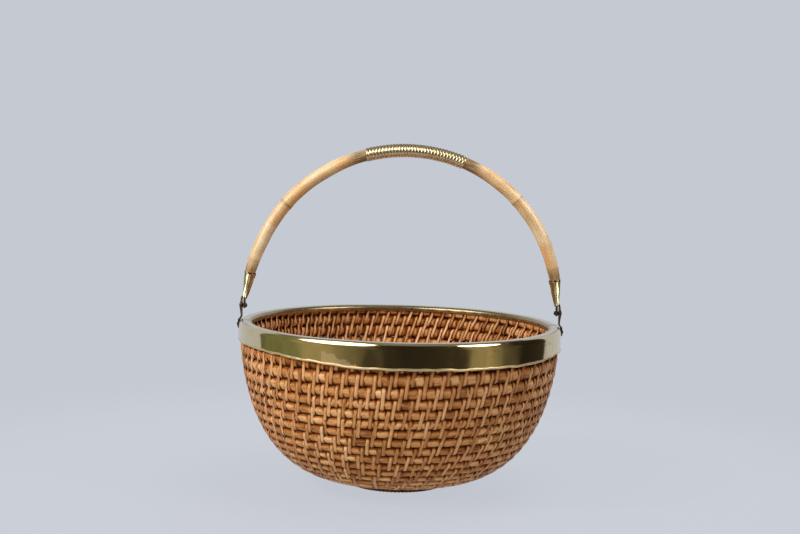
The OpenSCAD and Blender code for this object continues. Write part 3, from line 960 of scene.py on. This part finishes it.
def cane_material():
    """Pale peeled cane: faint fibres, warm blotches, dark stain beside the grip and ferrules."""
    material, tree, shader = new_material("pale_cane", Coat_Weight=0.35, Coat_Roughness=0.18,
                                          IOR=1.5)
    strip = (attribute(tree, "along"), attribute(tree, "around"), 0.0)
    stain, node = attribute(tree, "stain"), attribute(tree, "node")
    fibres = grain(tree, strip, (0.05, 26.0, 1.0), 4.0, 0.6)
    threads = grain(tree, strip, (0.12, 90.0, 1.0), 2.0, 0.5)
    blotches = grain(tree, strip, (0.035, 2.5, 1.0), 4.0, 0.6, 0.4)
    body = plus(tree, times(tree, fibres, 0.4), times(tree, blotches, 0.6))
    colour = ramp(tree, spread(tree, body, 0.30, 0.70),
                  [(0.0, (0.42, 0.25, 0.11)), (0.4, (0.66, 0.47, 0.27)), (1.0, (0.90, 0.76, 0.54))])
    sunned = grain(tree, strip, (0.022, 1.3, 1.0), 2.0, 0.5)
    colour = mix(tree, spread(tree, sunned, 0.44, 0.60, 0, 0.9), colour, (0.92, 0.66, 0.40),
                 "MULTIPLY")
    colour = mix(tree, spread(tree, threads, 0.58, 0.78, 0, 0.4), colour, (0.30, 0.17, 0.08))
    streaks = grain(tree, strip, (0.08, 30.0, 1.0), 3.0, 0.6)
    reach = times(tree, stain, spread(tree, streaks, 0.3, 0.62, 0.25, 1.3), clamp=True)
    colour = mix(tree, times(tree, reach, 0.85), colour, (0.075, 0.052, 0.030))
    colour = mix(tree, times(tree, node, 0.7), colour, (0.16, 0.09, 0.04))
    rough = spread(tree, plus(tree, fibres, stain), 0.3, 1.4, 0.30, 0.6)
    ridge = bump(tree, plus(tree, fibres, times(tree, threads, 0.4)), 0.10, 0.6)
    connect(tree, shader, colour, rough, ridge)
    return material


def brass(name, bright, dull, spots, wear, rough_lo, rough_hi, scratch):
    """Brass with smudges, tarnished patches and fine scratches; wear is the dull metal's share."""
    material, tree, shader = new_material(name, Metallic=1.0)
    place = position_mm(tree)
    smudge = noise(tree, place, 0.06, 4.0, 0.55, 0.6)
    cloud = noise(tree, place, 0.22, 5.0, 0.65, 0.3)
    speck = noise(tree, place, 1.6, 3.0, 0.6)
    cloudy = plus(tree, times(tree, smudge, 0.6), times(tree, cloud, 0.4))
    tarnish = spread(tree, cloudy, 0.62 - wear * 0.4, 0.80 - wear * 0.4)
    colour = mix(tree, tarnish, bright, dull)
    colour = mix(tree, spread(tree, speck, 0.66, 0.74, 0, 0.6), colour, spots)
    fine = add(tree, "ShaderNodeMapping", {"Vector": place, "Scale": (0.15, 0.15, 3.4)}).outputs[0]
    lines = noise(tree, fine, 1.0, 6.0, 0.75)
    rough = spread(tree, plus(tree, tarnish, times(tree, cloud, 0.5)), 0.1, 1.3, rough_lo, rough_hi)
    normal = bump(tree, plus(tree, lines, times(tree, speck, 0.4)), 0.02, scratch)
    connect(tree, shader, colour, rough, normal)
    return material, tree, shader, colour, rough


def band_material():
    """Polished brass, duller over its top and on the lip, worn bright along the folded bead."""
    material, tree, shader, colour, rough = brass(
        "polished_brass", (0.76, 0.64, 0.39), (0.52, 0.41, 0.21), (0.20, 0.13, 0.06),
        0.15, 0.06, 0.30, 0.10)
    edge, bead = attribute(tree, "edge"), attribute(tree, "bead")
    over = spread(tree, edge, 0.52, 0.62)
    cloud = noise(tree, position_mm(tree), 0.12, 4.0, 0.6, 0.5)
    dulled = times(tree, over, spread(tree, cloud, 0.35, 0.65, 0.35, 1.0))
    lip = spread(tree, edge, 0.68, 0.80)
    rough = plus(tree, rough, times(tree, dulled, 0.14))
    rough = plus(tree, rough, times(tree, lip, 0.12))
    rough = plus(tree, rough, times(tree, bead, 0.30))
    colour = mix(tree, times(tree, dulled, 0.7), colour, (0.72, 0.58, 0.37))
    colour = mix(tree, times(tree, lip, 0.75), colour, (0.34, 0.27, 0.16))
    colour = mix(tree, times(tree, bead, 0.8), colour, (0.86, 0.68, 0.38))
    # a lighter ragged patch painted above the hem, left of the front: a painted reflection
    patch_from, patch_to = 552.0, 584.0        # mm round the rim from +X
    across = spread(tree, attribute(tree, "along"), patch_from, patch_to)
    ragged = spread(tree, noise(tree, position_mm(tree), 0.30, 4.0, 0.65), 0.3, 0.7, -0.05, 0.05)
    reach = plus(tree, spread(tree, across, 0.0, 1.0, 0.255, 0.02), ragged)
    reflection_patch = spread(tree, math_node(tree, "SUBTRACT", reach, edge), 0.0, 0.008)
    within = times(tree, spread(tree, across, 0.0, 0.03), spread(tree, across, 1.0, 0.9))
    reflection_patch = times(tree, reflection_patch, within, clamp=True)
    colour = mix(tree, times(tree, reflection_patch, 0.75), colour, (0.95, 0.74, 0.46))
    rough = plus(tree, rough, times(tree, reflection_patch, 0.22))
    connect(tree, shader, colour, rough)
    return material


def wire_material():
    """Brass wire: pale and bright, a little browner in patches."""
    return brass("brass_wire", (0.85, 0.73, 0.49), (0.54, 0.40, 0.22), (0.16, 0.09, 0.05),
                 0.22, 0.26, 0.46, 0.12)[0]


def tarnished_material():
    """Brass gone dark brown, for the pivots."""
    return brass("tarnished_brass", (0.20, 0.14, 0.09), (0.07, 0.045, 0.03), (0.02, 0.012, 0.01),
                 0.55, 0.32, 0.6, 0.4)[0]


def ferrule_material():
    """Worn brass sheet with dark lengthwise streaks and a dark line just below the mouth where the
    cane goes in.
    """
    material, tree, shader, colour, rough = brass(
        "aged_brass", (0.74, 0.67, 0.42), (0.44, 0.37, 0.17), (0.12, 0.08, 0.03),
        0.30, 0.16, 0.36, 0.06)
    height, around = attribute(tree, "height"), attribute(tree, "around")
    streaks = grain(tree, (around, height, 0.0), (15.0, 0.9, 1.0), 3.0, 0.6)
    colour = mix(tree, spread(tree, streaks, 0.52, 0.68, 0, 0.75), colour, (0.17, 0.12, 0.045))
    colour = mix(tree, spread(tree, height, 0.955, 0.985, 0, 0.8), colour, (0.07, 0.045, 0.02))
    connect(tree, shader, colour, rough)
    return material


# ---- stage, light and camera

PALE = (0.558, 0.584, 0.645)


def plain_material(name, colour, glow):
    """One pale colour that partly shines by itself, so that the stage stays even."""
    material = bpy.data.materials.new(name)
    material.use_nodes = True
    shader = material.node_tree.nodes["Principled BSDF"]
    shader.inputs["Base Color"].default_value = (*colour, 1)
    shader.inputs["Roughness"].default_value = 0.9
    shader.inputs["Specular IOR Level"].default_value = 0.1
    shader.inputs["Emission Color"].default_value = (*PALE, 1)
    shader.inputs["Emission Strength"].default_value = glow
    return material, material.node_tree, shader


def stage_object(name, material, camera=True, glossy=False, diffuse=False):
    obj = bpy.context.object
    obj.name = name
    obj.data.materials.append(material)
    obj.visible_camera, obj.visible_glossy, obj.visible_diffuse = camera, glossy, diffuse
    obj.visible_shadow = obj.visible_transmission = obj.visible_volume_scatter = False


def backdrop():
    """A wide plain dome that the camera sees, and a pale wall behind for the brass to mirror."""
    material = plain_material("backdrop", (0, 0, 0), 1.0)[0]
    bpy.ops.mesh.primitive_uv_sphere_add(segments=48, ring_count=24, radius=9.0)
    stage_object("backdrop", material)
    right, left, wall_r, wall_h, steps = 60.0, 69.0, 1.7, 1.5, 24
    a = np.radians(90 + np.linspace(-right, left, steps))
    rows = [polar(wall_r, a, np.full(steps, z)) for z in (-0.2, wall_h)]
    mesh = bpy.data.meshes.new("pale_wall")
    mesh.from_pydata(np.vstack(rows).tolist(), [], grid_faces(2, steps, loop=False).tolist())
    bpy.context.view_layer.objects.active = new_object("pale_wall", mesh)
    stage_object("pale_wall", material, camera=False, glossy=True, diffuse=True)


def floor():
    """A pale floor round the basket that fades into the backdrop."""
    material, tree, shader = plain_material("floor", (0.035, 0.036, 0.039), 0.94)
    material.surface_render_method = "BLENDED"
    reach = add(tree, "ShaderNodeVectorMath", {0: position_mm(tree)},
                operation="LENGTH").outputs["Value"]
    solid_to, gone_at = 260.0, 600.0         # mm from the middle
    fade = add(tree, "ShaderNodeMapRange", {0: reach, 1: solid_to, 2: gone_at, 3: 1.0, 4: 0.0},
               interpolation_type="SMOOTHERSTEP").outputs[0]
    tree.links.new(fade, shader.inputs["Alpha"])
    bpy.ops.mesh.primitive_circle_add(vertices=96, radius=0.62, fill_type="NGON",
                                      location=(0, 0, -0.0002))
    stage_object("floor", material, glossy=True)


def softbox(name, place, size, power, colour=(1, 1, 1), aim=(0, 0, 0.10)):
    light = bpy.data.lights.new(name, "AREA")
    light.shape = "ELLIPSE"
    light.size, light.size_y = size
    light.energy = power
    light.color = colour
    obj = new_object(name, light)
    obj.location = place
    obj.rotation_mode = "QUATERNION"
    obj.rotation_quaternion = (Vector(aim) - Vector(place)).to_track_quat("-Z", "Y")
    return obj


def room():
    """A dim room that the brass mirrors and that lights a little: olive left, tan, dark middle."""
    world = bpy.data.worlds.new("studio")
    world.use_nodes = True
    tree = world.node_tree
    way = add(tree, "ShaderNodeTexCoord").outputs["Generated"]
    toward = add(tree, "ShaderNodeSeparateXYZ", {0: way})
    back = times(tree, toward.outputs["Y"], -1)
    angle = math_node(tree, "ARCTAN2", toward.outputs["X"], back)
    share = plus(tree, math_node(tree, "DIVIDE", angle, TURN), 0.5)
    share = plus(tree, share, spread(tree, noise(tree, way, 2.2, 3.0), 0.3, 0.7, -0.02, 0.02))
    olive = np.array((0.165, 0.172, 0.085))
    tan = np.array((0.26, 0.22, 0.12))
    dark = np.array((0.042, 0.034, 0.022))
    around = [(0.13, olive * 0.5), (0.17, olive * 0.6), (0.21, olive * 1.1), (0.27, olive * 1.18),
              (0.325, tan * 1.5), (0.37, tan * 1.0), (0.42, tan * 0.62),
              (0.455, dark), (0.50, dark * 0.55), (0.55, dark * 0.7), (0.63, dark * 1.2),
              (0.655, tan * 1.3), (0.68, tan * 1.5), (0.712, tan * 0.45),
              (0.76, dark * 0.5), (0.80, dark * 0.6), (0.86, dark)]
    colour = ramp(tree, share, [(at, tuple(tone)) for at, tone in around])
    uneven = spread(tree, noise(tree, way, 5.0, 3.0, 0.6), 0.3, 0.7, 0.82, 1.22)
    colour = mix(tree, spread(tree, toward.outputs["Z"], 0.60, 0.85), colour, (0.24, 0.235, 0.20))
    tree.links.new(colour, tree.nodes["Background"].inputs[0])
    tree.links.new(uneven, tree.nodes["Background"].inputs[1])
    bpy.context.scene.world = world


def lights():
    """A broad soft key from the upper left with a hard core, weaker boxes all round."""
    warm = (1.0, 0.965, 0.92)
    softbox("key", (-0.95, -0.88, 1.00), (1.5, 1.10), 17.0, warm)
    softbox("key_core", (-1.2, -0.62, 1.20), (0.2, 0.2), 14.0, warm).visible_glossy = False
    softbox("fill", (1.15, -0.62, 0.95), (0.8, 0.60), 8.0, warm)
    softbox("bounce", (-0.1, -1.5, 0.20), (1.2, 0.3), 1.2, warm).visible_glossy = False
    low = softbox("low", (0.0, -0.42, -0.32), (0.9, 0.4), 1.2, warm, (0, -0.04, 0.03))
    low.visible_glossy = low.visible_camera = False
    softbox("top", (0.35, 0.0, 1.40), (0.9, 0.7), 14).visible_glossy = False
    softbox("back", (0.5, 1.25, 0.9), (0.9, 0.5), 5.0).visible_glossy = False
    # a pale card beside each pivot, seen only in the ferrules and what they hold
    lit = bpy.data.collections.new("card_pieces")
    for piece in bpy.data.objects:
        if "ferrule" in piece.name or "tongue" in piece.name:
            lit.objects.link(piece)
    for side in (-1, 1):
        place = (side * 0.36, -0.24, 0.03)
        card = softbox("card", place, (0.30, 0.14), 0.34, warm, (side * 0.126, 0, 0.155))
        card.light_linking.receiver_collection = lit


def camera():
    """The photographer's place: 1.3 m off the rim's middle, 7 degrees up, a slight roll."""
    distance, up, lens, raise_deg, roll = 1.300, 7.0, 72.1, 1.97, 1.5
    middle = Vector((0, 0, BOWL_H * MM))
    tilt = math.radians(up)
    data = bpy.data.cameras.new("camera")
    data.lens, data.sensor_width = lens, 36.0
    data.clip_start, data.clip_end = 0.05, 40
    obj = new_object("camera", data)
    obj.location = middle + distance * Vector((-0.001, -math.cos(tilt), math.sin(tilt)))
    obj.rotation_euler = (math.radians(90 - up + raise_deg), 0, 0)
    obj.rotation_mode = "XYZ"
    obj.matrix_world = obj.matrix_basis
    bpy.context.view_layer.update()
    turn = Matrix.Rotation(math.radians(roll), 4, "Z")
    obj.rotation_euler = (obj.matrix_world @ turn).to_euler()
    bpy.context.scene.camera = obj


# ---- everything together

def build():
    """All the pieces on their bodies, then the stage, the lights and the camera."""
    rod = rattan("rattan_rod", (0.16, 0.048, 0.009), (0.54, 0.250, 0.090), (0.86, 0.57, 0.30),
                 0.04, 10.0)
    strand = rattan("rattan_strand", (0.20, 0.072, 0.020), (0.55, 0.272, 0.112), (0.86, 0.58, 0.34),
                    0.05, 7.0)
    bright, wire, pale = band_material(), wire_material(), cane_material()
    aged, tarnished = ferrule_material(), tarnished_material()
    coil_piece("base_coil_spiral", COIL_TURNS, SPLIT_TURN, rod, "base_coil")
    coil_piece("wall_coil_low", SPLIT_TURN, HIGH_TURN, rod, "wall_coil")
    coil_piece("wall_coil_high", HIGH_TURN, 0.0, rod, "rim_rod")
    lashing_pieces(strand)
    foot_ring(rod, strand)
    rim_band(bright)
    cane(pale)
    grip_wire(wire)
    for side, word in ((-1, "left"), (1, "right")):
        ferrule(side, word + "_ferrule_cone", aged)
        tongue(side, word + "_tongue_strip", tarnished)
        ear(side, word + "_ear_leaf", tarnished)
        pin(side, word + "_pin_rivet", tarnished)
        ear_nail(side, word + "_ear_nail_head", tarnished)
    backdrop()
    floor()
    room()
    lights()
    camera()
    bpy.context.scene.view_settings.view_transform = "Standard"


build()
